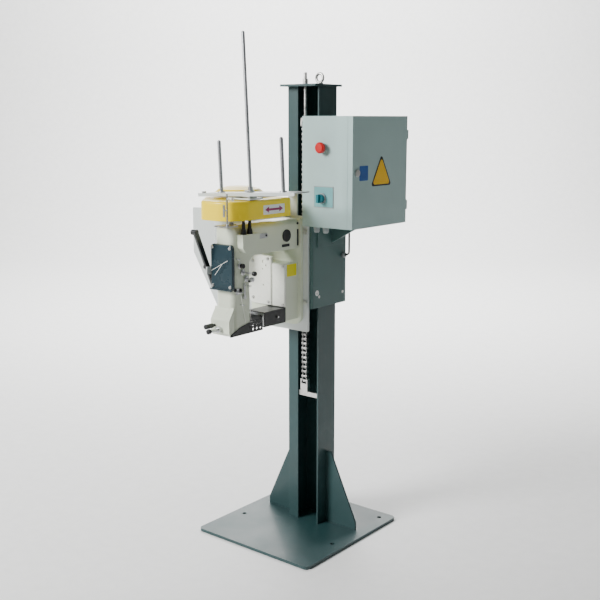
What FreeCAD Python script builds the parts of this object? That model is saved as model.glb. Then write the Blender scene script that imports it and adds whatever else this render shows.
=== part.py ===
import FreeCAD, Part
import math
import os
import re

import Sketcher

from FreeCAD import Placement, Rotation, Vector

# Bag closer sewing machine on a lift column.  Units are millimetres.
# Origin: centre of the column foot on the floor.  +X to the right, along the bag's travel,
# +Y to the back, away from the operator, +Z up.

doc = FreeCAD.newDocument("bag_closer")
sheet = doc.addObject("Spreadsheet::Sheet", "dims")

DIMENSIONS = [
    # column and base
    ("base_half_x", 280), ("base_front", -380), ("base_rear", 210), ("base_thick", 12),
    ("anchor_x", 230), ("anchor_y", 160), ("anchor_r", 9),
    ("col_half", 75), ("col_front", -55), ("col_rear", 60), ("col_top", 1750), ("col_wall", 6),
    ("col_lip", 48),
    ("cap_half", 88), ("cap_front", -92), ("cap_rear", 74), ("cap_thick", 8),
    ("gusset_height", 300), ("gusset_reach", 150),
    # lift chain and sprocket
    ("chain_y", -43.18), ("chain_bottom", 600.1), ("chain_pitch", 19.05), ("chain_links", 53),
    ("roller_r", 5.95), ("roller_width", 12.57), ("pin_r", 2.98), ("link_height", 18),
    ("sprocket_teeth", 10), ("sprocket_y", -74), ("sprocket_z", 1076.35), ("sprocket_width", 11),
    ("sprocket_tip_r", 32.5), ("seat_r", 7.6),
    # carriage
    ("car_half", 94), ("car_wall", 5), ("car_front", -118), ("car_rear", 100),
    ("car_low", 915), ("car_high", 1235), ("guide_r", 19), ("guide_rear_r", 16),
    # head mounting plate
    ("plate_left", -530), ("plate_right", 80), ("plate_front", -128), ("plate_low", 825),
    ("plate_high", 1270), ("plate_cut_z", 1084), ("plate_cut_x", -370),
    # sewing head casting
    ("arm_half", 45), ("arm_front", -504), ("arm_rear", -420), ("arm_low", 868), ("arm_high", 1262),
    ("beam_low", 1150), ("bed_front", -214), ("bed_left", -130),
    ("bed_high", 1095), ("flange_left", -140), ("flange_right", 58), ("flange_low", 852),
    ("flange_front", -142), ("nose_front", -335), ("nose_low", 874), ("nose_high", 930),
    ("wall", 8), ("shaft_y", -462), ("needle_z", 895), ("presser_x", -25), ("presser_z", 907),
    # belt drive
    ("guard_low", 1283), ("guard_high", 1350), ("guard_r", 90), ("guard_wall", 2.5),
    ("guard_rear", -238), ("motor_x", -175), ("motor_y", -290), ("hood_r", 97),
    ("hood_x", -122), ("hood_y", -286), ("belt_z", 1316), ("main_pulley_r", 56), ("motor_pulley_r", 28),
    # thread stand
    ("stand_x", 70), ("stand_y", -430), ("stand_z", 1378), ("stand_length", 450),
    ("stand_width", 80), ("stand_thick", 5), ("stand_tilt", 3), ("pole_length", 548),
    ("pole_r", 6), ("spindle_offset", 145), ("spindle_length", 185), ("spindle_r", 6.5),
    # control box
    ("box_left", 96), ("box_right", 300), ("box_front", -180), ("box_rear", 170),
    ("box_low", 1240), ("box_high", 1640), ("box_wall", 2), ("door_thick", 22),
]
for row, (alias, value) in enumerate(DIMENSIONS, start=1):
    sheet.set("A%d" % row, alias)
    sheet.set("B%d" % row, str(value))
    sheet.setAlias("B%d" % row, alias)
doc.recompute()

ALIASES = dict(DIMENSIONS)
NODES = []
AXES = {"X": Rotation(Vector(0, 1, 0), 90), "Y": Rotation(Vector(1, 0, 0), -90), "Z": Rotation()}
serial = [0]


def bound(text):
    """Write a size as an expression on the sheet."""
    return re.sub(r"[a-z][a-z_]+", lambda w: "dims." + w.group() if w.group() in ALIASES else w.group(),
                  str(text))


SIZES = {}
probe = doc.addObject("App::FeaturePython", "probe")
probe.addProperty("App::PropertyFloat", "Length")


def val(text):
    """The same size as a number."""
    text = str(text)
    if text not in SIZES:
        probe.setExpression("Length", bound(text))
        probe.recompute()
        SIZES[text] = probe.Length
    return SIZES[text]


def fresh(name):
    serial[0] += 1
    return "%s_%d" % (name, serial[0])


def place(obj, x, y, z, rotation=Rotation()):
    obj.Placement = Placement(Vector(0, 0, 0), rotation)
    for axis, text in zip("xyz", (x, y, z)):
        obj.setExpression("Placement.Base." + axis, bound(text))
    return obj


def node(name, obj):
    """Name a finished sub-part."""
    obj.Label = name
    NODES.append((name, obj))
    return obj


def part(obj):
    """A piece that shares a node with its neighbours."""
    return obj


def box(x0, x1, y0, y1, z0, z1, name="block"):
    obj = doc.addObject("Part::Box", fresh(name))
    for prop, low, high in (("Length", x0, x1), ("Width", y0, y1), ("Height", z0, z1)):
        obj.setExpression(prop, bound("(%s) - (%s)" % (high, low)))
    return place(obj, x0, y0, z0)


def rod(axis, x, y, z, radius, length, name="rod", tip=None):
    """A cylinder, or a cone when it has a tip radius, starting at x, y, z."""
    if tip is None:
        obj = doc.addObject("Part::Cylinder", fresh(name))
        obj.setExpression("Radius", bound(radius))
    else:
        obj = doc.addObject("Part::Cone", fresh(name))
        obj.setExpression("Radius1", bound(radius))
        obj.setExpression("Radius2", bound(tip))
    obj.setExpression("Height", bound(length))
    return place(obj, x, y, z, AXES[axis])


def hexagon(axis, x, y, z, radius, length, name="hex"):
    obj = doc.addObject("Part::Prism", fresh(name))
    obj.Polygon = 6
    obj.setExpression("Circumradius", bound(radius))
    obj.setExpression("Height", bound(length))
    return place(obj, x, y, z, AXES[axis])


def ball(x, y, z, radius, name="ball"):
    obj = doc.addObject("Part::Sphere", fresh(name))
    obj.setExpression("Radius", bound(radius))
    return place(obj, x, y, z)


def ring(axis, x, y, z, radius, section, name="ring"):
    obj = doc.addObject("Part::Torus", fresh(name))
    obj.setExpression("Radius1", bound(radius))
    obj.setExpression("Radius2", bound(section))
    return place(obj, x, y, z, AXES[axis])


def fuse(*parts, name="union"):
    if len(parts) == 1:
        return parts[0]
    obj = doc.addObject("Part::MultiFuse", fresh(name))
    obj.Shapes = list(parts)
    obj.Refine = True
    return obj


def cut(base, *tools, name="cut"):
    obj = doc.addObject("Part::Cut", fresh(name))
    obj.Base = base
    obj.Tool = fuse(*tools)
    return obj


def group(*parts, name="group"):
    obj = doc.addObject("Part::Compound", fresh(name))
    obj.Links = list(parts)
    return obj


def turned(axis, x, y, z, steps, name="turned"):
    """Coaxial steps (start radius, end radius, length) along one axis."""
    index = "XYZ".index(axis)
    at = [str(x), str(y), str(z)]
    parts = []
    for first, last, length in steps:
        tip = None if first == last else last
        parts.append(rod(axis, at[0], at[1], at[2], first, length, name, tip))
        at[index] = "(%s) + (%s)" % (at[index], length)
    return fuse(*parts, name=name)


PLANES = {"XY": ("XY_Plane", 1), "XZ": ("XZ_Plane", -1), "YZ": ("YZ_Plane", 1)}


def prism(plane, points, low, high, rounds=(), name="prism"):
    """A padded polygon.  points hold sheet expressions; rounds are (corner numbers, radius)."""
    role, sense = PLANES[plane]
    body = doc.addObject("PartDesign::Body", fresh(name))
    origin = [o for o in body.Origin.OriginFeatures if o.Role == role][0]
    sketch = body.newObject("Sketcher::SketchObject", fresh("sketch"))
    sketch.AttachmentSupport = [(origin, "")]
    sketch.MapMode = "FlatFace"
    sketch.setExpression("AttachmentOffset.Base.z",
                         bound(low if sense > 0 else "-(%s)" % high))
    corners = [Vector(val(u), val(v), 0) for u, v in points]
    count = len(corners)
    for i in range(count):
        sketch.addGeometry(Part.LineSegment(corners[i], corners[(i + 1) % count]), False)
    tie_corners(sketch, points, count)
    pad = body.newObject("PartDesign::Pad", fresh("pad"))
    pad.Profile = sketch
    pad.setExpression("Length", bound("(%s) - (%s)" % (high, low)))
    sketch.Visibility = False
    last = pad
    for numbers, radius in rounds:
        doc.recompute()
        edges = []
        for number in numbers:
            spot = corners[number]
            for i, edge in enumerate(last.Shape.Edges, start=1):
                start, end = edge.Vertexes[0].Point, edge.Vertexes[-1].Point
                flat = [{"XY": (p.x, p.y), "XZ": (p.x, p.z), "YZ": (p.y, p.z)}[plane]
                        for p in (start, end)]
                if all(abs(u - spot.x) < 0.01 and abs(v - spot.y) < 0.01 for u, v in flat):
                    edges.append("Edge%d" % i)
        fillet = body.newObject("PartDesign::Fillet", fresh("fillet"))
        fillet.Base = (last, edges)
        fillet.setExpression("Radius", bound(radius))
        last = fillet
    body.Tip = last
    return body


def tie_corners(sketch, points, count):
    """Tie each corner of the profile to the sheet."""

    for i in range(count):
        sketch.addConstraint(Sketcher.Constraint("Coincident", i, 2, (i + 1) % count, 1))
    for i, (u, v) in enumerate(points):
        for kind, text in (("DistanceX", u), ("DistanceY", v)):
            value = val(text)
            if abs(value) < 1e-9:
                other = -2 if kind == "DistanceX" else -1
                sketch.addConstraint(Sketcher.Constraint("PointOnObject", i, 1, other))
                continue
            number = sketch.addConstraint(Sketcher.Constraint(kind, -1, 1, i, 1, value))
            sketch.setExpression("Constraints[%d]" % number, bound(text))


def soften(obj, radius, axis=None, keep=None, name="soft"):
    """Round straight or circular edges picked by direction and position."""
    doc.recompute()
    picked = []
    for i, edge in enumerate(obj.Shape.Edges, start=1):
        middle = edge.valueAt((edge.FirstParameter + edge.LastParameter) / 2)
        if axis is not None:
            if not isinstance(edge.Curve, Part.Line):
                continue
            if abs(edge.Curve.Direction.dot(axis)) < 0.999:
                continue
        if keep is None or keep(middle, edge):
            picked.append((i, radius, radius))
    result = doc.addObject("Part::Fillet", fresh(name))
    result.Base = obj
    result.Edges = picked
    return result


# ---------------------------------------------------------------- base and column

base = prism("XY", [("-base_half_x", "base_front"), ("base_half_x", "base_front"),
                    ("base_half_x", "base_rear"), ("-base_half_x", "base_rear")],
             0, "base_thick", rounds=[((0, 1, 2, 3), 20)], name="base_blank")
anchors = [rod("Z", "%d * anchor_x" % i, "%d * anchor_y" % j, -5, "anchor_r", 40)
           for i in (-1, 1) for j in (-1, 1)]
node("base_plate", cut(base, *anchors))

# Folded channel, open to the front beside the lip on its left.
node("column", prism("XY", [
    ("-col_half", "col_front"), ("-col_half + col_lip", "col_front"),
    ("-col_half + col_lip", "col_front + col_wall"),
    ("-col_half + col_wall", "col_front + col_wall"),
    ("-col_half + col_wall", "col_rear - col_wall"), ("col_half - col_wall", "col_rear - col_wall"),
    ("col_half - col_wall", "col_front"), ("col_half", "col_front"),
    ("col_half", "col_rear"), ("-col_half", "col_rear")],
    "base_thick", "col_top", rounds=[((8, 9), 8)], name="column_section"))

ribs = []
for side in (-1, 1):
    ribs.append(prism("XZ", [
        ("%d * col_half" % side, "base_thick"),
        ("%d * (col_half + gusset_reach)" % side, "base_thick"),
        ("%d * (col_half + gusset_reach)" % side, "base_thick + 30"),
        ("%d * (col_half + 25)" % side, "gusset_height + base_thick"),
        ("%d * col_half" % side, "gusset_height + base_thick")], -4, 4, name="side_rib"))
ribs.append(prism("YZ", [
    ("col_rear", "base_thick"), ("col_rear + 130", "base_thick"),
    ("col_rear + 130", "base_thick + 30"), ("col_rear + 25", "gusset_height + base_thick"),
    ("col_rear", "gusset_height + base_thick")], -4, 4, name="rear_rib"))
node("column_gussets", group(*ribs))

cap = prism("XY", [("-cap_half", "cap_front"), ("cap_half", "cap_front"),
                   ("cap_half", "cap_rear"), ("-cap_half", "cap_rear")],
            "col_top", "col_top + cap_thick", rounds=[((0, 1, 2, 3), 6)], name="cap_blank")
node("column_top_plate", cut(cap, rod("Z", 0, "chain_y", "col_top - 5", 6.5, 30),
                             rod("Z", 35, 0, "col_top - 5", 6.5, 30)))
lifting_eye = part(fuse(
    rod("Z", 35, 0, "col_top - 14", 6, "14 + cap_thick"),
    rod("Z", 35, 0, "col_top + cap_thick", 13, 6),
    ring("Y", 35, 0, "col_top + cap_thick + 24", 16, 5)))

# Roller chain held at both ends: rollers on X axes with inner and outer plates.
links = []
for i in range(int(val("chain_links")) + 1):
    z = "chain_bottom + %d * chain_pitch" % i
    reach = 17.4 if i in (0, int(val("chain_links"))) else 12.5
    links.append(fuse(rod("X", "-roller_width / 2", "chain_y", z, "roller_r", "roller_width"),
                      rod("X", -reach, "chain_y", z, "pin_r", 2 * reach), name="roller"))
half = "link_height / 2 * 0.92"
for i in range(int(val("chain_links"))):
    z = "chain_bottom + %d * chain_pitch" % i
    inner = 6.4 if i % 2 else 9.0
    for side in (-1, 1):
        low = inner if side > 0 else -inner - 2.3
        plate = fuse(rod("X", low, "chain_y", z, half, 2.3),
                     rod("X", low, "chain_y", z + " + chain_pitch", half, 2.3),
                     box(low, low + 2.3, "chain_y - 5.6", "chain_y + 5.6", z, z + " + chain_pitch"))
        links.append(plate)
node("lift_chain", fuse(*links, name="chain_union"))

top_link = "chain_bottom + chain_links * chain_pitch"
chain_anchor_top = part(cut(fuse(
    rod("Z", 0, "chain_y", top_link + " + 12", 6, "col_top - (%s) + 40" % top_link),
    box(-17, 17, "chain_y - 8", "chain_y + 8", top_link + " + 10", top_link + " + 24"),
    *[box(x, x + 4.4, "chain_y - 8", "chain_y + 8", top_link + " - 8", top_link + " + 16")
      for x in (-17, 12.6)]),
    rod("X", -20, "chain_y", top_link, "pin_r + 0.08", 40)))
anchor_nuts = part(group(*[
    cut(hexagon("Z", 0, "chain_y", "col_top + cap_thick + %d" % (i * 10.5), 11, 10),
        rod("Z", 0, "chain_y", "col_top + cap_thick + %d" % (i * 10.5 - 2), 6.02, 16))
    for i in (0, 1)]))
chain_anchor_bottom = part(cut(fuse(
    box("-col_half + col_wall", "col_half - col_wall", -48.9, -36, "chain_bottom - 60",
        "chain_bottom - 42"),
    box(-17, 17, "chain_y - 8", "chain_y + 8", "chain_bottom - 46", "chain_bottom - 10"),
    *[box(x, x + 4.4, "chain_y - 8", "chain_y + 8", "chain_bottom - 16", "chain_bottom + 8")
      for x in (-17, 12.6)]),
    rod("X", -20, "chain_y", "chain_bottom", "pin_r + 0.08", 40)))
node("top_hardware", group(lifting_eye, anchor_nuts))
node("chain_anchors", group(chain_anchor_top, chain_anchor_bottom))


# ---------------------------------------------------------------- carriage and lift drive

sleeve = prism("XY", [("-car_half", "car_front"), ("car_half", "car_front"),
                      ("car_half", "car_rear"), ("-car_half", "car_rear")],
               "car_low", "car_high", rounds=[((0, 1, 2, 3), 7)], name="sleeve_outer")
hollow = box("-car_half + car_wall", "car_half - car_wall", "car_front + car_wall",
             "car_rear - car_wall", "car_low - 5", "car_high + 5")
bolt_spots = [("%d * 70" % i, z) for i in (-1, 1) for z in ("car_low + 25", "car_high - 25")]
axle_spots = [(y, z) for y in ("col_front - guide_r - 0.3", "col_rear + guide_rear_r + 0.3")
              for z in ("car_low + 42", "car_high - 42")]
bores = [rod("X", "-car_half - 10", y, z, 6, "2 * car_half + 20") for y, z in axle_spots]
bores.append(rod("X", "-car_half - 10", "sprocket_y", "sprocket_z", 10.05, "2 * car_half + 6"))
bores += [rod("Y", x, "car_front - 20", z, 5.05, 40) for x, z in bolt_spots]
bores.append(rod("X", "car_half - 10", 75, 1104, 8, 20))
node("carriage_housing", cut(sleeve, hollow, *bores))

roller_axles = part(group(*[rod("X", "-car_half - 4", y, z, 6, "2 * car_half + 4")
                              for y, z in axle_spots]))
names = ["front_lower", "front_upper", "rear_lower", "rear_upper"]
for (y, z), name in zip(axle_spots, names):
    radius = "guide_r" if name.startswith("front") else "guide_rear_r"
    wheels = []
    for side in (-1, 1):
        start = "%d * 72 - 6" % side
        wheels.append(cut(rod("X", start, y, z, radius, 12), rod("X", start + " - 2", y, z, 6.06, 16)))
    node(name + "_rollers", group(*wheels))

lift_shaft = part(rod("X", -158, "sprocket_y", "sprocket_z", 10, "158 + car_half - 8"))
blank = fuse(rod("X", "-sprocket_width / 2", "sprocket_y", "sprocket_z", "sprocket_tip_r",
                 "sprocket_width"),
             rod("X", -18, "sprocket_y", "sprocket_z", 17, 36))
teeth = int(val("sprocket_teeth"))
pitch_value = val("chain_pitch") / (2 * math.sin(math.pi / teeth))
seats = []
for i in range(teeth):
    angle = 2 * math.pi * i / teeth
    seats.append(rod("X", "-sprocket_width", "sprocket_y + %.5f" % (pitch_value * math.cos(angle)),
                     "sprocket_z + %.5f" % (pitch_value * math.sin(angle)), "seat_r",
                     "2 * sprocket_width", name="seat"))
seats.append(rod("X", -30, "sprocket_y", "sprocket_z", 10, 60))
lift_sprocket = part(cut(blank, *seats))
lift_bearings = part(group(*[
    cut(rod("X", x, "sprocket_y", "sprocket_z", 19, 8),
        rod("X", x - 2, "sprocket_y", "sprocket_z", 10.05, 12)) for x in (-89, 81)]))
node("lift_shaft", fuse(lift_shaft, lift_sprocket))
node("axles_and_bearings", group(roller_axles, lift_bearings))

gearbox = fuse(box(-172, -99, -113, 4, "sprocket_z - 48", "sprocket_z + 48"),
               box(-99, -94, -113, -20, "sprocket_z - 60", "sprocket_z + 60"),
               rod("Z", -136, -34, "sprocket_z - 62", 40, 14),
               turned("Z", -136, -34, "sprocket_z - 222", [(34, 38, 8), (38, 38, 152)]))
fins = [cut(rod("Z", -136, -34, "sprocket_z - %d" % (200 - 14 * i), 41, 3),
            rod("Z", -136, -34, "sprocket_z - %d" % (201 - 14 * i), 37, 5)) for i in range(9)]
node("lift_gearmotor", cut(fuse(gearbox, *fins),
                           rod("X", -160, "sprocket_y", "sprocket_z", 10.05, 80)))

plate = prism("XZ", [("plate_left", "plate_high"), ("plate_right", "plate_high"),
                     ("plate_right", "plate_low"), ("plate_cut_x", "plate_low"),
                     ("plate_left", "plate_cut_z")], "plate_front", "car_front",
              rounds=[((0, 1, 2, 3, 4), 6)], name="plate_blank")
plate_holes = [rod("Y", x, "plate_front - 20", z, 5.05, 60) for x, z in bolt_spots]
node("mounting_plate", cut(plate, *plate_holes))
plate_bolts = part(group(*[
    fuse(hexagon("Y", x, "plate_front - 7", z, 9, 7),
         rod("Y", x, "plate_front", z, 5, "car_front - plate_front + car_wall + 3"))
    for x, z in bolt_spots if not x.startswith("-1")] + [
    rod("Y", x, "plate_front", z, 5, "car_front - plate_front + car_wall + 3")
    for x, z in bolt_spots if x.startswith("-1")]))

node("box_bracket", fuse(
    box("car_half", "car_half + 5", -90, 88, 1150, "box_low"),
    box("car_half", 262, -66, 62, "box_low - 5", "box_low"),
    prism("XZ", [("car_half + 5", "box_low - 5"), (240, "box_low - 5"), ("car_half + 5", 1160)],
          -3, 3, name="bracket_web")))

# ---------------------------------------------------------------- sewing head casting

frame_c = prism("YZ", [
    ("arm_front", "arm_low"), ("arm_rear", "arm_low + 6"), ("arm_rear", "beam_low"),
    ("flange_front + 4", "beam_low"), ("flange_front + 4", "arm_high"), ("arm_front", "arm_high")],
    "-arm_half", "arm_half", rounds=[((2,), 34), ((0,), 16), ((5,), 20)], name="arm_and_beam")
doc.recompute()
frame_c = soften(frame_c, 22, axis=Vector(0, 1, 0), keep=lambda m, e: m.z > 1255)
bed = box("bed_left", 42, "bed_front", "flange_front + 4", "nose_low + 4", "bed_high")
flange = prism("XZ", [("flange_left", "arm_high"), ("flange_right", "arm_high"),
                      ("flange_right", "flange_low"), ("flange_left", "flange_low")],
               "flange_front", "plate_front", rounds=[((2, 3), 36), ((0, 1), 10)], name="flange")
boss = prism("YZ", [(-482, 1232), (-392, 1232), (-396, 1206), (-425, 1180), (-466, 1164),
                    (-482, 1184)], "arm_half - 1", 74, rounds=[((2, 3, 4, 5), 12)], name="side_boss")
lip = prism("YZ", [
    ("arm_front + 2", 972), ("arm_front - 3", 962), ("arm_front - 24", 928),
    ("arm_front - 24", 882), ("arm_front - 14", "arm_low + 2"), ("arm_front + 2", "arm_low + 2")],
    "-arm_half", "arm_half", rounds=[((2,), 14), ((3, 4), 5)], name="arm_toe")
cavities = [
    box("-arm_half + wall", "arm_half - wall", "arm_front + wall", "arm_rear - wall", 880, 958),
    box("-arm_half + wall", "arm_half - wall", "arm_front + wall", "arm_rear - wall", 978, 1246),
    box("-arm_half + wall", "arm_half - wall", "arm_rear - wall - 2", -152, "beam_low + wall", 1246),
    box(-36, 36, "arm_front - 5", "arm_front + wall + 2", 1050, 1182),
    box("bed_left + wall", 34, "bed_front + wall", -152, "nose_high + 4", "bed_high - wall"),
    box(-100, 24, "bed_front - 5", "bed_front + wall + 2", 950, 1075),
]
bores = [
    rod("Y", 0, "arm_front - 40", "needle_z", 6.06, 140),
    rod("Y", "presser_x", "arm_front - 40", "presser_z", 5.06, 140),
    rod("Z", 0, "shaft_y", 940, 17, 330),
    rod("X", 30, -212, 1203, 20, 30),
]
node("head_casting", cut(fuse(frame_c, bed, flange, boss, lip), *cavities, *bores))

cover = prism("XZ", [(-52, 1034), (52, 1034), (52, 1197), (-52, 1197)], "arm_front - 12",
              "arm_front", rounds=[((0, 1, 2, 3), 14)], name="face_cover_blank")
doc.recompute()
cover = soften(cover, 4, keep=lambda m, e: m.y < -515.9)
node("face_cover", fuse(cover, box(-52, 52, "arm_front - 20", "arm_front - 11", 1034, 1038)))

left_cover = prism("XZ", [(-142, 932), (-20, 932), (-20, 1121), (-142, 1121)], "bed_front - 12",
                   "bed_front", rounds=[((0, 3), 42)], name="bed_cover_blank")
doc.recompute()
left_cover = soften(left_cover, 5, keep=lambda m, e: m.y < -225.9)
bed_cover = part(cut(left_cover, rod("Y", -58, -230, 1098, 7, 8), rod("Y", -44, -230, 1084, 4, 8),
                      rod("Y", -62, -230, 1070, 3, 8), rod("Y", -58, -230, 1008, 3, 8)))
right_cover = prism("XZ", [(-18, 932), (43, 932), (43, 1094), (-18, 1094)], "bed_front - 8",
                    "bed_front", name="side_cover_blank")
doc.recompute()
side_cover = part(soften(right_cover, 3, keep=lambda m, e: m.y < -221.9))

cover_screws = part(group(*[
    turned("Y", x, y, z, [(5, 6, 2), (6, 6, 2)]) for x, y, z in (
        (-42, "arm_front - 16.1", 1186), (42, "arm_front - 16.1", 1186),
        (-42, "arm_front - 16.1", 1048), (42, "arm_front - 16.1", 1048),
        (-110, "bed_front - 16.1", 1096), (-110, "bed_front - 16.1", 956),
        (-34, "bed_front - 16.1", 1110), (-34, "bed_front - 16.1", 946),
        (36, "bed_front - 12.1", 1086), (36, "bed_front - 12.1", 940))]))

oil_window = part(fuse(rod("X", 39, -212, 1203, 19.9, 6), rod("X", 45, -212, 1203, 23, 3)))
side_plates = part(group(box(45.1, 47, -150, -143, 1160, 1222),
                          box(45.1, 47, -238, -196, 1162, 1172),
                          rod("X", 45.1, -148, 1244, 4, 3)))
node("bed_covers", group(bed_cover, side_cover))
node("oil_window", group(oil_window, side_plates))


# ---------------------------------------------------------------- main shaft and belt drive

shaft = fuse(rod("Z", 0, "shaft_y", 946, 9, "belt_z + 14 - 946"),
             rod("Z", 0, "shaft_y", 938, 24, 9), rod("Z", 14, "shaft_y", 922, 5, 17))
node("main_shaft", shaft)
main_bearings = part(group(*[
    cut(rod("Z", 0, "shaft_y", z, 17, length), rod("Z", 0, "shaft_y", z - 2, 9.05, length + 4))
    for z, length in ((958, 20), (1246, 14))]))


def pulley(x, y, radius, bore):
    """A V-groove pulley centred on the belt plane."""
    body = turned("Z", x, y, "belt_z - 11", [(radius, radius, 4),
                                             (radius, radius + " - 8", 7),
                                             (radius + " - 8", radius, 7), (radius, radius, 4)])
    return cut(body, rod("Z", x, y, "belt_z - 20", bore, 40))


holes = [rod("Z", "%.3f" % (34 * math.cos(a)), "shaft_y + %.3f" % (34 * math.sin(a)),
             "belt_z - 20", 8, 40) for a in [math.radians(60 * i) for i in range(6)]]
node("main_pulley", cut(pulley(0, "shaft_y", "main_pulley_r", 9), *holes))
node("motor_pulley", fuse(pulley("motor_x", "motor_y", "motor_pulley_r", 6),
                          rod("Z", "motor_x", "motor_y", 1264, 6, 66)))

# V belt: a closed loop round both grooves, swept as straight runs and tangent arcs.
ax, ay, bx, by = val("0"), val("shaft_y"), val("motor_x"), val("motor_y")
big, small = val("main_pulley_r") - 1.6, val("motor_pulley_r") - 1.6
reach = math.hypot(bx - ax, by - ay)
lean = math.atan2(by - ay, bx - ax)
swing = math.acos((big - small) / reach)


def on_circle(cx, cy, r, angle, z):
    return Vector(cx + r * math.cos(angle), cy + r * math.sin(angle), z)


def belt_outline(shift, z):
    up, down = lean + swing, lean - swing
    r1, r2 = big + shift, small + shift
    a1, a2 = on_circle(ax, ay, r1, up, z), on_circle(ax, ay, r1, down, z)
    b1, b2 = on_circle(bx, by, r2, up, z), on_circle(bx, by, r2, down, z)
    far_a, far_b = on_circle(ax, ay, r1, lean + math.pi, z), on_circle(bx, by, r2, lean, z)
    return Part.Wire([Part.Arc(a1, far_a, a2).toShape(), Part.makeLine(a2, b2),
                      Part.Arc(b2, far_b, b1).toShape(), Part.makeLine(b1, a1)])


belt = doc.addObject("Part::Feature", "belt")
rings = []
for shift in (2.2, -2.2):
    face = Part.Face(belt_outline(shift, val("belt_z") - 3.5))
    rings.append(face.extrude(Vector(0, 0, 7)))
belt.Shape = rings[0].cut(rings[1])
belt.Placement = Placement(Vector(0, 0, 0), Rotation())
node("drive_belt", belt)

body = fuse(turned("Z", "motor_x", "motor_y", 1084, [(46, 52, 10), (52, 52, 160), (48, 48, 8)]),
            *[cut(rod("Z", "motor_x", "motor_y", 1112 + 13 * i, 54.5, 4),
                  rod("Z", "motor_x", "motor_y", 1110 + 13 * i, 50, 8)) for i in range(9)])
node("sewing_motor", cut(body, rod("Z", "motor_x", "motor_y", 1255, 14, 20)))
bracket = fuse(box("motor_x - 58", "motor_x + 58", "motor_y - 56", "plate_front", 1262, 1268),
               box("motor_x - 58", "flange_left - 2", "plate_front - 8", "plate_front", 1190, 1262))
motor_bracket = part(cut(bracket, rod("Z", "motor_x", "motor_y", 1255, 16, 20)))


def guard_profile(gap):
    g = " - %s" % gap
    return [("guard_r" + g, "guard_rear" + g), ("guard_r" + g, "shaft_y - guard_r + %s" % gap),
            ("-62 + %s * 0.4" % gap, "shaft_y - guard_r + %s" % gap),
            ("-225 + %s" % gap, "-352 + %s * 0.4" % gap), ("-225 + %s" % gap, "guard_rear" + g)]


outer = prism("XY", guard_profile("0"), "guard_low", "guard_high",
              rounds=[((1,), 84), ((2,), 60), ((3, 4), 40), ((0,), 6)], name="guard_outer")
doc.recompute()
outer = soften(outer, 9, keep=lambda m, e: m.z > 1349.9)
# Low dome pressed into the cover over the motor pulley.
hood = turned("Z", "hood_x", "hood_y", "guard_high - 6",
              [("hood_r", "hood_r", 7), ("hood_r", "hood_r - 4", 10), ("hood_r - 4", "hood_r - 20", 13),
               ("hood_r - 20", "hood_r - 52", 9), ("hood_r - 52", "hood_r - 92", 3)])
hollow = turned("Z", "hood_x", "hood_y", "guard_high - 8",
                [("hood_r - 3", "hood_r - 3", 9), ("hood_r - 3", "hood_r - 7", 9),
                 ("hood_r - 7", "hood_r - 23", 12), ("hood_r - 23", "hood_r - 55", 7.5),
                 ("hood_r - 55", "hood_r - 93", 2)])
inner = prism("XY", guard_profile("guard_wall"), "guard_low + guard_wall",
              "guard_high - guard_wall", rounds=[((1,), 81), ((2,), 57), ((3, 4), 37), ((0,), 4)],
              name="guard_inner")
doc.recompute()
inner = soften(inner, 7, keep=lambda m, e: m.z > 1347.4)
node("belt_guard", cut(fuse(outer, hood), inner, hollow,
                       rod("Z", 0, "shaft_y", "guard_low - 4", 16, 10),
                       rod("Z", "motor_x", "motor_y", "guard_low - 4", 14, 10)))
node("guard_posts", group(*[turned("Z", 62, y, 1232, [(11, 8.5, 18), (7, 5, 33)])
                            for y in (-466, -434)] +
                          [rod("Z", -190, -255, 1268, 6, 15), rod("Z", -150, -330, 1268, 6, 15)]))

# ---------------------------------------------------------------- thread stand

tilt = Placement(Vector(0, 0, 0), Rotation(Vector(0, 1, 0), -val("stand_tilt")),
                 Vector(val("stand_x"), val("stand_y"), val("stand_z")))
stand = fuse(box("stand_x - stand_length / 2", "stand_x + stand_length / 2",
                 "stand_y - stand_width / 2", "stand_y + stand_width / 2",
                 "stand_z - stand_thick", "stand_z"),
             box("stand_x - stand_length / 2", "stand_x + stand_length / 2",
                 "stand_y - stand_width / 2", "stand_y - stand_width / 2 + 3",
                 "stand_z - 12", "stand_z"),
             rod("Z", "stand_x - 60", "stand_y", "stand_z - 15.6", 13, 12),
             rod("Z", "stand_x + 6", "stand_y", "stand_z - 19.1", 13, 16))
stand.Placement = tilt
node("thread_stand", stand)
stand_bracket = part(fuse(box(-20, 92, -466, -396, 1353, 1358.5),
                          box(-20, 20, -466, "car_front + 6", 1353, 1358.5),
                           box(-20, 20, "car_front", "car_front + 6", 1238, 1358)))
pole = fuse(turned("Z", "stand_x - 5", "stand_y", "stand_z", [(15, 13, 5), ("pole_r + 3", "pole_r + 3", 14),
                                                              ("pole_r", "pole_r", "pole_length - 22"),
                                                              ("pole_r", 2, 3)]))
pole.Placement = tilt
node("thread_pole", pole)
spindles = group(*[turned("Z", "stand_x + %d * spindle_offset" % side, "stand_y", "stand_z",
                          [(14, 12, 4), ("spindle_r", "spindle_r", "spindle_length - 8"),
                           ("spindle_r", 3, 4)]) for side in (-1, 1)])
spindles.Placement = tilt
node("thread_spindles", spindles)
screws = group(hexagon("Z", "stand_x - 212", "stand_y - 22", "stand_z", 8, 6),
               hexagon("Z", "stand_x + 14", "stand_y - 26", "stand_z", 8, 5),
               hexagon("Z", "stand_x - 45", "stand_y + 24", "stand_z", 8, 5))
screws.Placement = tilt
stand_screws = part(screws)

guide_post = part(fuse(
    box(5, 68, -554, -500, "arm_high", "arm_high + 5"),
    turned("Z", 61, -547, "arm_high + 5", [(6, 5, 8), (3, 3, 104)]),
    rod("X", 61, -547, 1361, 2.5, 24), ring("X", 88, -547, 1361, 5, 1.6),
    rod("Y", 61, -562, 1322, 2.2, 15), box(57, 65, -564, -561, 1300, 1342)))

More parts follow.
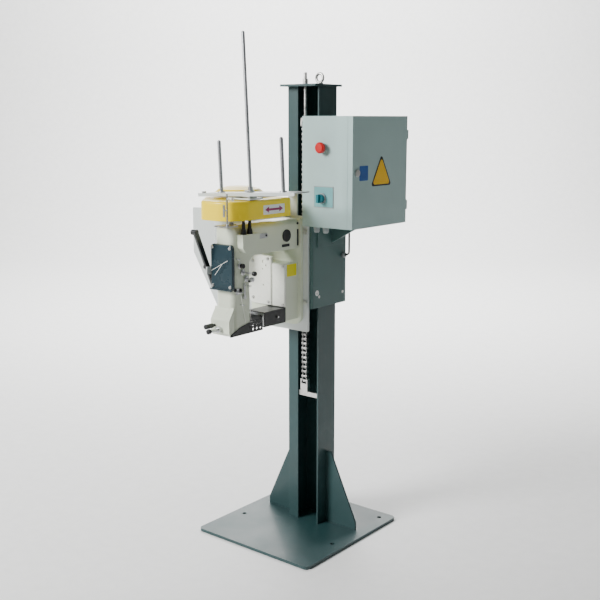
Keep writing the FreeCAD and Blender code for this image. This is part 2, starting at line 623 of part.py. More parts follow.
# ---------------------------------------------------------------- needle, presser and feed

needle_bar = part(fuse(turned("Y", 0, -590, "needle_z", [(5.5, 7.5, 3), (7.5, 7.5, 9)]),
                        rod("Y", 0, -578, "needle_z", 6, 174),
                        rod("Y", 0, -404, "needle_z", 8, 14),
                        box(-11, 11, -476, -462, "needle_z - 10", "needle_z + 12")))
needle = part(turned("Y", 0, -390, "needle_z", [(1.3, 1.3, 38), (1.3, 0.2, 7)]))
bar_bushings = part(group(
    cut(rod("Y", 0, -542, "needle_z", 11, 14), rod("Y", 0, -550, "needle_z", 6.06, 30)),
    cut(rod("Y", "presser_x", "arm_rear", "presser_z", 9, 8),
        rod("Y", "presser_x", "arm_rear - 5", "presser_z", 5.06, 20))))
node("presser_bar", rod("Y", "presser_x", -490, "presser_z", 5, 94))
foot = fuse(box(-30, 30, -343, -339.4, 882, 920),
            box(-31, -19, -398, -341, "presser_z - 5", "presser_z + 5"),
            box(-30, 30, -349, -341, 916, 920))
node("presser_foot", cut(foot, rod("Y", 0, -345, "needle_z", 4, 10),
                         rod("Y", "presser_x", -400, "presser_z", 5, 4.01)))
node("presser_knob", fuse(rod("Y", "presser_x", -576, "presser_z", 9, 34),
                          rod("Y", "presser_x", -548, "presser_z", 5, 46)))
lifter_bracket = part(fuse(box(-58, "-arm_half", -500, -470, 1082, 1118),
                            box(-58, -53, -534, -470, 1086, 1114)))
lever = prism("YZ", [(-475, 1031), (-491, 1023), (-587, 1243), (-571, 1253)], -69, -60,
              rounds=[((0, 1, 2, 3), 5)], name="lever_bar")
node("lifter_lever", fuse(lever, rod("X", -75, -522, 1112, 9, 16.5), rod("X", -80, -576, 1240, 10, 22)))

block = box(-42, 42, "nose_front", "bed_front", "nose_low", "nose_high")
node("looper_block", cut(block, box(-34, 34, -340, -222, 882, 922),
                         rod("X", -50, -262, 902, 4.06, 100)))
slot = fuse(rod("Y", 0, -345, "needle_z", 2.4, 15), box(-20, 20, -345, -330, 904, 911))
node("needle_plate", cut(box(-40, 40, "nose_front - 3", "nose_front", 880, 926), slot))
node("feed_dog", fuse(box(-15, 15, -337.4, -320, 904.6, 910.4), box(-15, 15, -320, -314, 904.6, 917)))
looper_shaft = part(rod("X", -48, -262, 902, 4, 96))
looper = part(fuse(rod("X", 5, -262, 902, 7, 8), box(6, 12, -306, -262, 899, 905),
                    turned("X", 12, -303, 902, [(2.4, 0.6, 10)])))
node("thread_knife", fuse(rod("X", -50, -300, 902, 7, 7), box(-49, -45, -348, -300, 898, 906)))
guard = prism("YZ", [(-524, 869), (-352, 869), (-352, 908), (-424, 908), (-470, 898), (-524, 875)],
              "arm_half", "arm_half + 3", rounds=[((2,), 8)], name="guard_plate")
node("finger_guard", cut(guard, *[rod("X", 40, y, z, 4.5, 12) for y in (-404, -384, -364)
                                  for z in (881, 896)]))

# ---------------------------------------------------------------- thread path on the right side

tension = [("upper", -473, 1121, 20), ("lower", -458, 1096, 62), ("rear", -440, 1070, 34)]
tension_posts = part(group(*[fuse(rod("X", 45, y, z, 3, reach), rod("X", 45, y, z, 7, 3))
                              for name, y, z, reach in tension]))
tension_discs = part(group(*[
    cut(turned("X", 48.5, y, z, [(9, 11, 1.6), (11, 11, 1), (11, 9, 1.6)]),
        rod("X", 45, y, z, 3, 12)) for name, y, z, reach in tension]))
for name, y, z, reach in tension:
    knob = turned("X", 45 + reach - 9, y, z, [(8, 8.5, 3), (8.5, 8.5, 8), (8.5, 6, 2)])
    knob = cut(knob, rod("X", 44, y, z, 3.05, reach + 2))
    if name == "rear":
        rear_knob = knob
    else:
        node("tension_knob_" + name, knob)
eyes = fuse(box(45, 47, -492, -474, 1018, 1040), box(45, 66, -492, -474, 1026, 1029))
wires = [fuse(rod("X", 45, y, z, 1.6, 10), ring("Z", 59, y, z, 4.5, 1.4))
         for y, z in ((-487, 1146), (-432, 1044), (-468, 980))]
thread_guides = part(group(cut(eyes, rod("Z", 60, -483, 1015, 3, 30)), *wires))
take_up = fuse(rod("X", 46, -452, 1006, 7, 8), box(50, 53, -456, -448, 1006, 1046),
               ring("X", 51.5, -452, 1050, 5.5, 1.6))
node("take_up_lever", take_up)

node("shaft_bearings", group(main_bearings, bar_bushings))
node("head_brackets", group(motor_bracket, stand_bracket, lifter_bracket))
node("fasteners", group(plate_bolts, cover_screws, stand_screws))
node("needle_bar", fuse(needle_bar, needle))
node("looper", fuse(looper, looper_shaft))
node("thread_tensions", group(tension_posts, tension_discs, rear_knob))
node("thread_guides", group(thread_guides, guide_post))

# ---------------------------------------------------------------- control box

shell = box("box_left", "box_right", "box_front", "box_rear", "box_low", "box_high")
inside = box("box_left + box_wall", "box_right + 5", "box_front + box_wall",
             "box_rear - box_wall", "box_low + box_wall", "box_high - box_wall")
glands = [(140, -150, 8), (182, -150, 8), (125, 75, 8)]
box_holes = [rod("Z", x, y, "box_low - 5", r, 12) for x, y, r in glands]
box_holes += [rod("Y", 193, "box_front - 5", 1528, 11.05, 12),
              rod("Y", 190, "box_front - 5", 1347, 11.05, 12)]
node("control_box", cut(shell, inside, *box_holes))
door_blank = box("box_right + 0.6", "box_right + door_thick", "box_front", "box_rear",
                 "box_low", "box_high")
door = cut(door_blank, box("box_right", "box_right + door_thick - 2", "box_front + 2",
                           "box_rear - 2", "box_low + 2", "box_high - 2"),
           rod("X", "box_right", -152, 1440, 8.05, 40))
pin_x, pin_y = 314, 180
node("door_hinges", group(*[
    fuse(rod("Z", pin_x, pin_y, z, 3, 36), box(270, 306, "box_rear", "box_rear + 2", z, z + 12),
         cut(rod("Z", pin_x, pin_y, z, 6, 12), rod("Z", pin_x, pin_y, z - 2, 2.9, 20)),
         box(300, 309, "box_rear", pin_y + 2, z, z + 12))
    for z in (1290, 1554)]))
door_straps = part(group(*[
    cut(fuse(rod("Z", pin_x, pin_y, z + 12.5, 6, 22),
             box(311, 317, "box_rear", 176, z + 12.5, z + 34.5)),
        rod("Z", pin_x, pin_y, z, 3.06, 60)) for z in (1290, 1554)]))
node("door_lock", fuse(rod("X", "box_right + 3", -152, 1440, 8, 21),
                       rod("X", "box_right + door_thick + 0.4", -152, 1440, 13, 4),
                       box("box_right - 8", "box_right - 4", -157, -147, 1432, 1482),
                       rod("X", "box_right - 8", -152, 1440, 6, 14)))
estop_collar = part(cut(fuse(rod("Y", 193, "box_front - 8", 1528, 16, 8),
                              rod("Y", 193, "box_front", 1528, 11, 40)),
                         rod("Y", 193, "box_front - 12", 1528, 7.06, 44)))
node("estop_button", fuse(turned("Y", 193, "box_front - 30", 1528, [(15, 20, 5), (20, 20, 9)]),
                          rod("Y", 193, "box_front - 16", 1528, 7, 36)))
selector_plate = part(cut(box(151, 240, "box_front - 2", "box_front", 1313, 1390),
                           rod("Y", 190, "box_front - 5", 1347, 11.05, 8)))
selector_collar = part(cut(fuse(rod("Y", 190, "box_front - 10", 1347, 19, 8),
                                 rod("Y", 190, "box_front - 2", 1347, 11, 38)),
                            rod("Y", 190, "box_front - 12", 1347, 6.06, 44)))
node("selector_knob", fuse(turned("Y", 190, "box_front - 24", 1347, [(13, 16, 3), (16, 16, 10)]),
                           box(185, 195, "box_front - 34", "box_front - 20", 1332, 1362),
                           rod("Y", 190, "box_front - 14", 1347, 6, 30)))
backplate = part(box("box_left + 8", "box_left + 10.5", -160, 150, 1262, 1618))
switchgear = part(group(
    box("box_left + 10.5", "box_left + 92", -130, -85, 1480, 1570),
    box("box_left + 10.5", "box_left + 92", -78, -33, 1480, 1570),
    box("box_left + 10.5", "box_left + 80", 10, 110, 1480, 1560),
    box("box_left + 10.5", "box_left + 70", -130, 110, 1400, 1425),
    *[box("box_left + 10.5", "box_left + 60", -120 + 14 * i, -109 + 14 * i, 1300, 1345)
      for i in range(14)]))
node("box_door", group(door, door_straps))
node("button_collars", group(estop_collar, selector_collar, selector_plate))
node("switchgear", group(backplate, switchgear))
gland_parts = []
for x, y, r in glands:
    gland_parts.append(cut(fuse(hexagon("Z", x, y, "box_low - 9", 13, 9),
                                turned("Z", x, y, "box_low - 24", [(8, 11, 6), (11, 11, 9)]),
                                rod("Z", x, y, "box_low - 2", 8, 14)),
                           rod("Z", x, y, "box_low - 30", 4, 50)))
side_gland = cut(fuse(rod("X", "car_half - 4", 75, 1104, 8, 10),
                      hexagon("X", "car_half + 5", 75, 1104, 12, 7)),
                 rod("X", "car_half - 10", 75, 1104, 4, 40))
node("cable_glands", group(*gland_parts, side_gland))

# Lift motor cable: straight drop, one quarter bend and a short run into the carriage.
bend = 18
bow = ring("Y", 125 - bend, 75, 1104 + bend, bend, 4)
bow.Angle3 = 90
node("lift_cable", fuse(rod("Z", 125, 75, 1104 + bend, 4, "box_low - 20 - 1122"), bow,
                        rod("X", "car_half - 2", 75, 1104, 4, "125 - 18 - car_half + 2")))

# ---------------------------------------------------------------- check and export

doc.recompute()
for obj in doc.Objects:
    if "Invalid" in obj.State or "Error" in obj.State:
        raise RuntimeError("%s (%s) did not build" % (obj.Label, obj.Name))
for name, obj in NODES:
    if obj.Shape.isNull() or not obj.Shape.isValid() or not obj.Shape.Solids:
        raise RuntimeError("%s has no valid solid" % name)

os.makedirs("parts", exist_ok=True)
for name, obj in NODES:
    obj.Shape.exportStep("parts/%s.step" % name)
    print("%-24s %2d solids %12.0f mm3" % (name, len(obj.Shape.Solids), obj.Shape.Volume))
print(len(NODES), "sub-parts")
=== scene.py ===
import math

import bmesh
import bpy
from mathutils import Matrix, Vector


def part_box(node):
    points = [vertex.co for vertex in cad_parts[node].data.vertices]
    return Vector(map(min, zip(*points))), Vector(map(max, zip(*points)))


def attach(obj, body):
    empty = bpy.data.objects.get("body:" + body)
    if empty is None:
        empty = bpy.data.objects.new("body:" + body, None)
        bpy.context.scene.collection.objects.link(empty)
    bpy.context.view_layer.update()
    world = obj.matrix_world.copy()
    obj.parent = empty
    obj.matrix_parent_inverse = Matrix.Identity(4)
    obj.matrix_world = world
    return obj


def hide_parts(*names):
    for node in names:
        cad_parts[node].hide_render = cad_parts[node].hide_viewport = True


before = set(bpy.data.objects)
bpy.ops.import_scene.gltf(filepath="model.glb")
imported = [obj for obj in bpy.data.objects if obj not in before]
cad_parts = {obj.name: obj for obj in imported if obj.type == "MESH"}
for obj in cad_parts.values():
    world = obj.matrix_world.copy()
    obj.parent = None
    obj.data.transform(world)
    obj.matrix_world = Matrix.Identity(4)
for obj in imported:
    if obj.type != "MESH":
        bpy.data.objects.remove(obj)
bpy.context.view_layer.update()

# Faces that the labels, screws and threads lie on.
ARM_SIDE = 0.0450
CASTING_SIDE = 0.0420
GUARD_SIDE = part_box("belt_guard")[1].x
DOOR_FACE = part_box("box_door")[1].x
HOUSING_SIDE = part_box("carriage_housing")[1].x
BOX_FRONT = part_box("control_box")[0].y
COVER_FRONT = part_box("face_cover")[0].y


def srgb(r, g, b):
    """Display values 0-255 to linear RGBA."""
    out = [(c / 255 / 12.92) if c / 255 <= 0.04045 else ((c / 255 + 0.055) / 1.055) ** 2.4
           for c in (r, g, b)]
    return tuple(out) + (1.0,)


# ------------------------------------------------------------------ materials

class Nodes:
    def __init__(self, name, roughness=0.45, metallic=0.0, coat=0.0, coat_roughness=0.15):
        self.mat = bpy.data.materials.new(name)
        self.mat.use_nodes = True
        self.tree = self.mat.node_tree
        self.bsdf = self.tree.nodes["Principled BSDF"]
        self.bsdf.inputs["Roughness"].default_value = roughness
        self.bsdf.inputs["Metallic"].default_value = metallic
        self.bsdf.inputs["Coat Weight"].default_value = coat
        self.bsdf.inputs["Coat Roughness"].default_value = coat_roughness
        self.coord = self.tree.nodes.new("ShaderNodeTexCoord").outputs["Object"]

    def add(self, kind, **values):
        node = self.tree.nodes.new(kind)
        for key, value in values.items():
            if key in node.inputs:
                node.inputs[key].default_value = value
            else:
                setattr(node, key, value)
        return node

    def link(self, a, b):
        self.tree.links.new(a, b)

    def noise(self, scale, detail=4.0, stretch=None, rough=0.55):
        node = self.add("ShaderNodeTexNoise", Scale=scale, Detail=detail, Roughness=rough)
        if stretch:
            mapping = self.add("ShaderNodeMapping", Scale=stretch)
            self.link(self.coord, mapping.inputs["Vector"])
            self.link(mapping.outputs[0], node.inputs["Vector"])
        else:
            self.link(self.coord, node.inputs["Vector"])
        return node.outputs["Fac"]

    def ramp(self, fac, stops):
        node = self.add("ShaderNodeValToRGB")
        elements = node.color_ramp.elements
        while len(elements) < len(stops):
            elements.new(0.5)
        for element, (spot, colour) in zip(elements, stops):
            element.position, element.color = spot, colour
        self.link(fac, node.inputs["Fac"])
        return node.outputs["Color"]

    def mix(self, fac, a, b):
        node = self.add("ShaderNodeMix", data_type="RGBA")
        for socket, value in ((node.inputs[0], fac), (node.inputs[6], a), (node.inputs[7], b)):
            if isinstance(value, (tuple, float, int)):
                socket.default_value = value
            else:
                self.link(value, socket)
        return node.outputs[2]

    def map_range(self, value, low, high, to_low, to_high):
        node = self.add("ShaderNodeMapRange", **{"From Min": low, "From Max": high,
                                                 "To Min": to_low, "To Max": to_high})
        self.link(value, node.inputs["Value"])
        return node.outputs[0]

    def edge(self, radius=0.0016):
        """0 on flats, 1 on outside and inside edges."""
        bevel = self.add("ShaderNodeBevel", samples=4, Radius=radius)
        normal = self.add("ShaderNodeNewGeometry").outputs["Normal"]
        dot = self.add("ShaderNodeVectorMath", operation="DOT_PRODUCT")
        self.link(bevel.outputs[0], dot.inputs[0])
        self.link(normal, dot.inputs[1])
        return self.map_range(dot.outputs["Value"], 0.995, 0.86, 0.0, 1.0)

    def bump(self, height, strength, distance, radius=0.0012):
        bevel = self.add("ShaderNodeBevel", samples=4, Radius=radius)
        node = self.add("ShaderNodeBump", Strength=strength, Distance=distance)
        self.link(height, node.inputs["Height"])
        self.link(bevel.outputs[0], node.inputs["Normal"])
        self.link(node.outputs[0], self.bsdf.inputs["Normal"])

    def colour(self, socket):
        self.link(socket, self.bsdf.inputs["Base Color"])

    def rough(self, fac, low, high):
        self.link(self.map_range(fac, 0.3, 0.7, low, high), self.bsdf.inputs["Roughness"])


def shade(colour, k):
    return tuple(min(1.0, c * k) for c in colour[:3]) + (1.0,)


def paint(name, colour, roughness=0.38, coat=0.25, texture=260.0, depth=0.00035, wear=0.35,
          under=(0.36, 0.37, 0.36, 1.0), spread=0.10):
    n = Nodes(name, roughness, 0.0, coat)
    clouds = n.noise(5.5, 5.0)
    tone = n.ramp(clouds, [(0.3, shade(colour, 1 - spread)), (0.7, shade(colour, 1 + spread * 0.5))])
    streak = n.noise(34.0, 3.0, (1.0, 1.0, 0.12))
    dusty = n.mix(n.map_range(streak, 0.62, 0.85, 0.0, 0.22), tone, shade(colour, 0.78))
    chips = n.map_range(n.noise(90.0, 3.0), 0.52, 0.66, 0.0, 1.0)
    mask = n.add("ShaderNodeMath", operation="MULTIPLY")
    n.link(n.edge(), mask.inputs[0])
    n.link(chips, mask.inputs[1])
    n.colour(n.mix(n.map_range(mask.outputs[0], 0.0, 1.0, 0.0, wear), dusty, under))
    n.rough(clouds, roughness - 0.07, roughness + 0.10)
    n.bump(n.noise(texture, 2.0), 0.35, depth)
    return n.mat


def steel(name, colour=(0.62, 0.63, 0.64, 1.0), roughness=0.26, stretch=(1.0, 1.0, 30.0), scale=60.0,
          grime=0.25):
    n = Nodes(name, roughness, 1.0)
    lines = n.noise(scale, 4.0, stretch)
    tone = n.ramp(lines, [(0.3, shade(colour, 0.80)), (0.7, shade(colour, 1.10))])
    dirt = n.map_range(n.noise(28.0, 5.0), 0.50, 0.72, 0.0, grime)
    n.colour(n.mix(dirt, tone, (0.10, 0.095, 0.085, 1.0)))
    n.rough(lines, roughness - 0.06, roughness + 0.14)
    n.bump(lines, 0.18, 0.0002, 0.0006)
    return n.mat


def plastic(name, colour, roughness=0.4, texture=420.0, depth=0.0002, spread=0.08):
    n = Nodes(name, roughness, 0.0)
    clouds = n.noise(18.0, 4.0)
    n.colour(n.ramp(clouds, [(0.3, shade(colour, 1 - spread)), (0.7, shade(colour, 1 + spread))]))
    n.rough(clouds, roughness - 0.06, roughness + 0.12)
    n.bump(n.noise(texture, 2.0), 0.4, depth, 0.0008)
    return n.mat


cream = paint("cream_enamel", srgb(214, 221, 200), 0.34, 0.3, 150.0, 0.0005, 0.25, spread=0.05)
cream_smooth = paint("cover_enamel", srgb(236, 238, 228), 0.26, 0.5, 200.0, 0.0002, 0.2, spread=0.04)
slate = paint("slate_cover", srgb(30, 52, 60), 0.26, 0.35, 240.0, 0.0002, 0.3)
dark_green = paint("column_enamel", srgb(36, 66, 67), 0.44, 0.15, 180.0, 0.0005, 0.45, spread=0.14)
carriage_grey = paint("carriage_enamel", srgb(68, 98, 96), 0.42, 0.15, 180.0, 0.0005, 0.40, spread=0.12)
pale_plate = paint("plate_enamel", srgb(206, 212, 209), 0.36, 0.2, 220.0, 0.0003, 0.30, spread=0.06)
box_grey = paint("box_enamel", srgb(168, 194, 191), 0.46, 0.1, 620.0, 0.0007, 0.20, spread=0.05)
yellow = paint("guard_enamel", srgb(255, 220, 0), 0.36, 0.2, 170.0, 0.0003, 0.25,
               under=(0.20, 0.17, 0.06, 1.0), spread=0.07)
black = paint("black_oxide", srgb(24, 27, 28), 0.34, 0.1, 200.0, 0.0003, 0.55,
              under=(0.28, 0.28, 0.27, 1.0), spread=0.2)
motor_grey = paint("motor_enamel", srgb(196, 203, 201), 0.40, 0.15, 160.0, 0.0006, 0.3)
bright = steel("turned_steel")
spindle_steel = steel("spindle_steel", (0.55, 0.57, 0.58, 1.0), 0.30)
chain_steel = steel("chain_steel", (0.50, 0.50, 0.49, 1.0), 0.34, (1.0, 1.0, 1.0), 45.0, 0.75)
zinc = steel("zinc_plated", (0.70, 0.70, 0.67, 1.0), 0.32, (1.0, 1.0, 1.0), 70.0, 0.3)
black_plastic = plastic("black_plastic", srgb(26, 28, 29), 0.36)
teal_plastic = plastic("teal_plastic", srgb(10, 106, 116), 0.32)
red_plastic = plastic("red_plastic", srgb(196, 14, 16), 0.30)
grey_plastic = plastic("grey_plastic", srgb(150, 156, 156), 0.42)
rubber = plastic("belt_rubber", srgb(22, 22, 23), 0.68, 260.0, 0.0006, 0.2)

FINISH = {
    cream: ["head_casting"], cream_smooth: ["bed_covers"], slate: ["face_cover"],
    dark_green: ["base_plate", "column", "column_gussets", "column_top_plate"],
    carriage_grey: ["carriage_housing", "box_bracket"],
    pale_plate: ["mounting_plate", "thread_stand", "head_brackets"],
    box_grey: ["control_box", "box_door", "door_hinges"], yellow: ["belt_guard"],
    black: ["lifter_lever", "looper_block", "presser_foot", "finger_guard", "guard_posts",
            "presser_knob"],
    motor_grey: ["sewing_motor", "lift_gearmotor"],
    bright: ["main_shaft", "lift_shaft", "shaft_bearings", "needle_bar", "presser_bar",
             "needle_plate", "feed_dog", "looper", "thread_knife", "take_up_lever",
             "thread_tensions", "thread_guides", "main_pulley", "motor_pulley"],
    spindle_steel: ["thread_pole", "thread_spindles"],
    chain_steel: ["lift_chain", "front_lower_rollers", "front_upper_rollers",
                  "rear_lower_rollers", "rear_upper_rollers"],
    zinc: ["top_hardware", "chain_anchors", "axles_and_bearings", "fasteners", "door_lock"],
    black_plastic: ["tension_knob_upper", "tension_knob_lower", "oil_window"],
    teal_plastic: ["selector_knob"], red_plastic: ["estop_button"],
    grey_plastic: ["button_collars", "switchgear", "cable_glands"], rubber: ["drive_belt", "lift_cable"],
}
painted = set()
for material, names in FINISH.items():
    for name in names:
        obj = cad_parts[name]
        obj = bpy.data.objects[obj] if isinstance(obj, str) else obj
        obj.data.materials.clear()
        obj.data.materials.append(material)
        painted.add(name)
missing = set(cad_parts) - painted
if missing:
    raise RuntimeError("no finish for %s" % sorted(missing))

# ------------------------------------------------------------------ added pieces

def finish_piece(name, mesh, material, body, bevel=0.0, smooth=True):
    obj = bpy.data.objects.new(name, mesh)
    bpy.context.scene.collection.objects.link(obj)
    mesh.materials.append(material)
    if smooth:
        for face in mesh.polygons:
            face.use_smooth = True
    if bevel:
        mod = obj.modifiers.new("bevel", "BEVEL")
        mod.width, mod.segments, mod.limit_method = bevel, 2, "ANGLE"
        mod.harden_normals = True
    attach(obj, body)
    return obj


def outline_plate(name, points, axis, low, high, material, body, bevel=0.0003):
    """A thin plate: a polygon in the plane across the axis, from low to high along it."""
    bm = bmesh.new()
    place = {"X": lambda u, v, w: (w, u, v), "Y": lambda u, v, w: (u, w, v),
             "Z": lambda u, v, w: (u, v, w)}[axis]
    rings = [[bm.verts.new(place(u, v, w)) for u, v in points] for w in (low, high)]
    bm.faces.new(rings[0])
    bm.faces.new(list(reversed(rings[1])))
    for i in range(len(points)):
        k = (i + 1) % len(points)
        bm.faces.new((rings[0][i], rings[0][k], rings[1][k], rings[1][i]))
    bmesh.ops.recalc_face_normals(bm, faces=bm.faces)
    mesh = bpy.data.meshes.new(name)
    bm.to_mesh(mesh)
    bm.free()
    return finish_piece(name, mesh, material, body, bevel, smooth=False)


def rounded(u0, u1, v0, v1, radius, steps=5):
    points = []
    for cu, cv, start in ((u1 - radius, v1 - radius, 0), (u0 + radius, v1 - radius, 90),
                          (u0 + radius, v0 + radius, 180), (u1 - radius, v0 + radius, 270)):
        for i in range(steps + 1):
            a = math.radians(start + 90 * i / steps)
            points.append((cu + radius * math.cos(a), cv + radius * math.sin(a)))
    return points


def disc(u, v, radius, count=28):
    return [(u + radius * math.cos(2 * math.pi * i / count),
             v + radius * math.sin(2 * math.pi * i / count)) for i in range(count)]


def finish_of(node):
    return bpy.data.objects[node].data.materials[0]


def label(name, colour, roughness=0.35):
    return plastic(name, colour, roughness, 500.0, 0.00008, 0.03)


white_label = label("white_label", srgb(240, 240, 236))
arrow_red = label("arrow_red", srgb(150, 42, 92))
patch_yellow = label("patch_yellow", srgb(226, 216, 0))
patch_blue = label("patch_blue", srgb(24, 84, 156))
sign_yellow = label("sign_yellow", srgb(250, 196, 0))
sign_black = label("sign_black", srgb(22, 22, 22))
teal_label = label("teal_label", srgb(112, 168, 170), 0.3)
black_knob = label("black_knob", srgb(20, 22, 24), 0.4)
thread_mat = plastic("sewing_thread", srgb(238, 238, 232), 0.75, 900.0, 0.0004, 0.06)

LABEL = (-0.0002, 0.0005)          # a label's back and front, out from the face it lies on
OVER_LABEL = (0.0003, 0.0009)      # the same for a print on a label


def patch(u, v, half_u, half_v, radius=0.003):
    return rounded(u - half_u, u + half_u, v - half_v, v + half_v, radius)


def two_headed_arrow(u, v, reach=0.049, neck=0.028, wing=0.011, half=0.004):
    corners = [(-reach, 0), (-neck, wing), (-neck, half), (neck, half), (neck, wing),
               (reach, 0), (neck, -wing), (neck, -half), (-neck, -half), (-neck, -wing)]
    return [(u + a, v + b) for a, b in corners]


def triangle(u, v, side, radius=0.008):
    height = side * math.sqrt(3) / 2
    spots = [(u, v + height * 2 / 3), (u - side / 2, v - height / 3), (u + side / 2, v - height / 3)]
    points = []
    for k, (cu, cv) in enumerate(spots):
        inward = Vector((u - cu, v - cv)).normalized() * radius * 2
        for i in range(7):
            a = math.radians(30 + 120 * k + 120 * i / 6)
            points.append((cu + inward.x + radius * math.cos(a), cv + inward.y + radius * math.sin(a)))
    return points


# Belt guard: direction plate.
guard_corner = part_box("belt_guard")[0]
plate_at = (guard_corner.y + 0.218, guard_corner.z + 0.0305)
outline_plate("guard_label", patch(*plate_at, 0.058, 0.0165), "X", GUARD_SIDE + LABEL[0],
              GUARD_SIDE + LABEL[1], white_label, "carriage")
outline_plate("guard_arrow", two_headed_arrow(*plate_at), "X", GUARD_SIDE + OVER_LABEL[0],
              GUARD_SIDE + OVER_LABEL[1], arrow_red, "carriage", 0.0)

# Sewing head: plain patch on the bed's box.
outline_plate("side_patch", patch(-0.178, 1.069, 0.028, 0.023), "X", CASTING_SIDE - 0.0001,
              CASTING_SIDE + 0.0006, patch_yellow, "carriage")

# Switch-box door: plain patch beside the lock and a plain triangle sign.
lock_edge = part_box("door_lock")[1].y
outline_plate("door_patch", patch(lock_edge + 0.02775, 1.4385, 0.02625, 0.0265), "X",
              DOOR_FACE + LABEL[0], DOOR_FACE + LABEL[1], patch_blue, "door")
SIGN_AT = (0.0, 1.427)
outline_plate("door_sign_border", triangle(*SIGN_AT, 0.132), "X", DOOR_FACE + LABEL[0],
              DOOR_FACE + LABEL[1], sign_black, "door", 0.0)
outline_plate("door_sign", triangle(*SIGN_AT, 0.112), "X", DOOR_FACE + OVER_LABEL[0],
              DOOR_FACE + OVER_LABEL[1], sign_yellow, "door", 0.0)

# Switch-box front: plate behind the selector.
knob_low, knob_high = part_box("selector_knob")
knob_x, knob_z = (knob_low.x + knob_high.x) / 2, (knob_low.z + knob_high.z) / 2
outline_plate("selector_label", patch(knob_x + 0.0055, knob_z + 0.0045, 0.042, 0.036, 0.004), "Y",
              BOX_FRONT - 0.0027, BOX_FRONT - 0.0019, teal_label, "carriage")

# Carriage: earth mark of a disc and three bars.
EARTH_Y, EARTH_Z = -0.088, 0.973
outline_plate("earth_mark", disc(EARTH_Y, EARTH_Z, 0.011), "X", HOUSING_SIDE - 0.0001,
              HOUSING_SIDE + 0.0005, white_label, "carriage", 0.0)
for i, (half, drop) in enumerate(((0.0070, 0.0), (0.0045, 0.0035), (0.0022, 0.0070))):
    z = EARTH_Z - drop
    bar = [(EARTH_Y - half, z), (EARTH_Y + half, z), (EARTH_Y + half, z + 0.0011),
           (EARTH_Y - half, z + 0.0011)]
    outline_plate("earth_bar_%d" % i, bar, "X", HOUSING_SIDE + 0.0003, HOUSING_SIDE + 0.0008,
                  sign_black, "carriage", 0.0)

# Stretches of sewing thread, and the lift motor's cable.

def line(name, points, radius, material, body):
    """A round cord along a smooth spline through its own control points."""
    curve = bpy.data.curves.new(name, "CURVE")
    curve.dimensions = "3D"
    curve.bevel_depth, curve.bevel_resolution, curve.use_fill_caps = radius, 4, True
    spline = curve.splines.new("NURBS")
    spline.points.add(len(points) - 1)
    for point, spot in zip(spline.points, points):
        point.co = (*spot, 1.0)
    spline.order_u = min(3, len(points))
    spline.use_endpoint_u = True
    spline.resolution_u = 16
    obj = bpy.data.objects.new(name, curve)
    bpy.context.scene.collection.objects.link(obj)
    curve.materials.append(material)
    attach(obj, body)
    return obj


THREAD_R = 0.0008
front = COVER_FRONT - 0.0014
threads = {
    "thread_front_a": [(-0.040, front, 1.102), (0.040, front, 1.144)],
    "thread_front_b": [(-0.021, front - 0.0016, 1.088), (0.014, front - 0.0016, 1.129)],
    "thread_side_a": [(0.0600, -0.4830, 1.026), (0.0475, -0.4440, 0.911)],
    "thread_side_b": [(0.0545, -0.4330, 1.040), (0.0475, -0.4160, 0.917)],
    "thread_side_c": [(0.0590, -0.4865, 1.144), (0.0510, -0.4760, 1.108)],
}
for name, spots in threads.items():
    run = line(name, spots, THREAD_R, thread_mat, "carriage")

cable_run = [(0.125, 0.075, 1.220), (0.125, 0.075, 1.135), (0.125, 0.075, 1.104),
             (0.094, 0.075, 1.104)]
CABLE_R = 0.004
cable = line("lift_cable_sheath", cable_run, CABLE_R, finish_of("lift_cable"), "carriage")
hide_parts("lift_cable")


# Small turned parts.

def lathe(name, axis, base, profile, material, body, count=32, knurl=0.0):
    """A turned piece: profile is (distance along the axis, radius), knurl is its groove depth."""
    spin = {"X": lambda w, u, v: (w, u, v), "Y": lambda w, u, v: (u, w, v)}[axis]
    bm = bmesh.new()
    rows = []
    for distance, radius in profile:
        row = []
        for i in range(count):
            a = 2 * math.pi * i / count
            r = radius - (knurl if i % 2 and distance > 0 else 0.0)
            offset = spin(distance, r * math.cos(a), r * math.sin(a))
            row.append(bm.verts.new(Vector(base) + Vector(offset)))
        rows.append(row)
    for low_row, high_row in zip(rows, rows[1:]):
        for i in range(count):
            k = (i + 1) % count
            bm.faces.new((low_row[i], low_row[k], high_row[k], high_row[i]))
    bm.faces.new(rows[0])
    bm.faces.new(list(reversed(rows[-1])))
    bmesh.ops.recalc_face_normals(bm, faces=bm.faces)
    mesh = bpy.data.meshes.new(name)
    bm.to_mesh(mesh)
    bm.free()
    return finish_piece(name, mesh, material, body, smooth=not knurl)


needle_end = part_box("needle_bar")[0].y - 0.0015
lathe("needle_bar_cap", "Y", (0, needle_end, 0.895),
      [(0, 0.0060), (0.0012, 0.0086), (0.0030, 0.0094), (0.0120, 0.0094), (0.0135, 0.0086),
       (0.0150, 0.0078)], black_knob, "needle_drive", 36, 0.0005)
for i, (y, z) in enumerate(((-0.497, 1.036), (-0.468, 1.032), (-0.420, 1.060))):
    lathe("guide_screw_%d" % i, "X", (ARM_SIDE - 0.0003, y, z),
          [(0, 0.0062), (0.0040, 0.0062), (0.0055, 0.0055), (0.0060, 0.0030)], black_knob,
          "carriage", 24)

# Thread guide plate below the two posts, and its screws.
POST_PLATE_AT = (-0.351, 1.215)
outline_plate("post_plate", patch(*POST_PLATE_AT, 0.033, 0.009, 0.0085), "X", ARM_SIDE - 0.0003,
              ARM_SIDE + 0.0018, bright, "carriage")
for i, side in enumerate((-1, 1)):
    spot = (ARM_SIDE + 0.0016, POST_PLATE_AT[0] + 0.023 * side, POST_PLATE_AT[1])
    lathe("post_plate_screw_%d" % i, "X", spot,
          [(0, 0.0038), (0.0016, 0.0038), (0.0024, 0.0026)], black_knob, "carriage",
          20)

# ------------------------------------------------------------------ floor, lights and camera

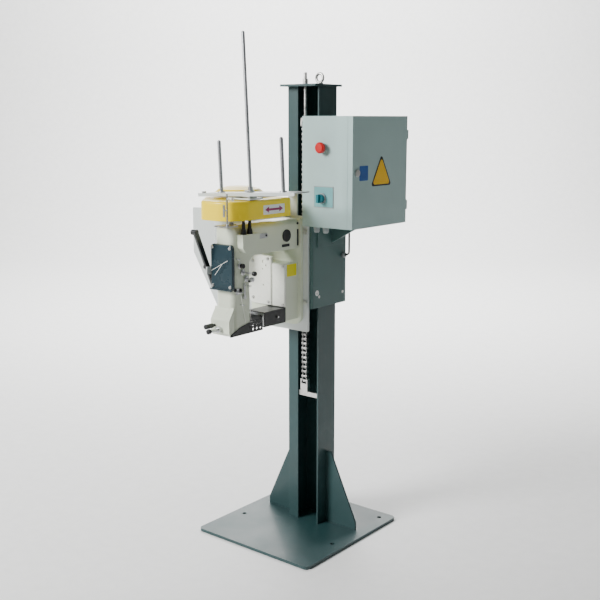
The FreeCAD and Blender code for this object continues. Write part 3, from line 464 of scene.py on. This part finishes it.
HEADING = math.radians(39.0)       # the camera looks along this, turned left from +Y
CAMERA_AT = (2.2975, -2.913, 1.63)
CAMERA_TILT = math.radians(79.2)
along = Vector((-math.sin(HEADING), math.cos(HEADING), 0))
across = Vector((math.cos(HEADING), math.sin(HEADING), 0))


def backdrop(near=-60.0, far=7.0, turn=2.5, high=40.0, half_width=80.0, sink=0.0005):
    """A pale floor that turns up into a wall far behind the machine."""
    bend = [math.radians(7.5 * i) for i in range(1, 13)]
    profile = [(near, 0.0), (far, 0.0)]
    profile += [(far + turn * math.sin(a), turn - turn * math.cos(a)) for a in bend]
    profile += [(far + turn, high)]
    bm = bmesh.new()
    rows = [[bm.verts.new(across * side * half_width + along * d + Vector((0, 0, z - sink)))
             for side in (-1, 1)] for d, z in profile]
    for low_row, high_row in zip(rows, rows[1:]):
        bm.faces.new((low_row[0], low_row[1], high_row[1], high_row[0]))
    mesh = bpy.data.meshes.new("floor")
    bm.to_mesh(mesh)
    bm.free()
    for face in mesh.polygons:
        face.use_smooth = True
    mesh.materials.append(plastic("floor_finish", (0.86, 0.86, 0.85, 1.0), 0.6, 6.0, 0.0002, 0.03))
    obj = bpy.data.objects.new("floor", mesh)
    bpy.context.scene.collection.objects.link(obj)


backdrop()

world = bpy.data.worlds.new("studio")
bpy.context.scene.world = world
world.use_nodes = True
back = world.node_tree.nodes["Background"]
back.inputs["Color"].default_value = (0.95, 0.98, 1.0, 1.0)
back.inputs["Strength"].default_value = 0.17


def lamp(name, spot, aim, power, size):
    data = bpy.data.lights.new(name, "AREA")
    data.energy, data.size = power, size
    obj = bpy.data.objects.new(name, data)
    obj.location = spot
    obj.rotation_euler = (Vector(aim) - Vector(spot)).to_track_quat("-Z", "Y").to_euler()
    bpy.context.scene.collection.objects.link(obj)


lamp("key", (-1.7, -4.0, 3.3), (0, -0.2, 1.1), 370.0, 1.8)
lamp("fill", (3.8, -2.0, 2.2), (0, -0.2, 1.1), 2.0, 2.6)
lamp("rim", (-2.6, 2.4, 3.4), (0, 0, 1.2), 60.0, 2.0)
lamp("wall", tuple(along * 4.5 + Vector((0, 0, 5.5))), tuple(along * 8.5 + Vector((0, 0, 0.8))),
     1500.0, 5.0)

camera = bpy.data.cameras.new("camera")
camera.lens, camera.sensor_width = 57.0, 36.0
camera.clip_start, camera.clip_end = 0.05, 100.0
eye = bpy.data.objects.new("camera", camera)
eye.location = CAMERA_AT
eye.rotation_euler = (CAMERA_TILT, 0, HEADING)
bpy.context.scene.collection.objects.link(eye)
bpy.context.scene.camera = eye
